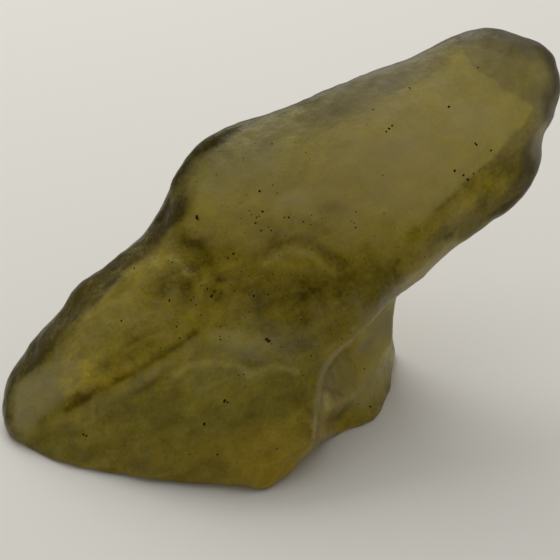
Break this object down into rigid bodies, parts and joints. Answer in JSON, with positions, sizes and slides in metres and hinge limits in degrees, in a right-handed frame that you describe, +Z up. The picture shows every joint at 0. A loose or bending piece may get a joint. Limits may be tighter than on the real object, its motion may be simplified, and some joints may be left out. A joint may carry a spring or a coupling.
{
  "type": "desert glass stone",
  "caption": "Wind-worn piece of olive natural glass with a broad leaning face, a front lobe and a rear foot with a scooped hollow between them.",
  "frame": {"origin": "middle of the bounding box at its base, on the surface the stone stands on", "axes": "+X along the stone's length, from the low lobe to the overhanging end; +Y away from the broad front face; +Z up"},
  "size_m": [0.0398, 0.0221, 0.0251],
  "materials": {
    "desert_glass": "satin, translucent olive-yellow with a frosted, wind-worn surface"
  },
  "bodies": {
    "root": {"desert_glass": "desert_glass"}
  },
  "joints": []
}
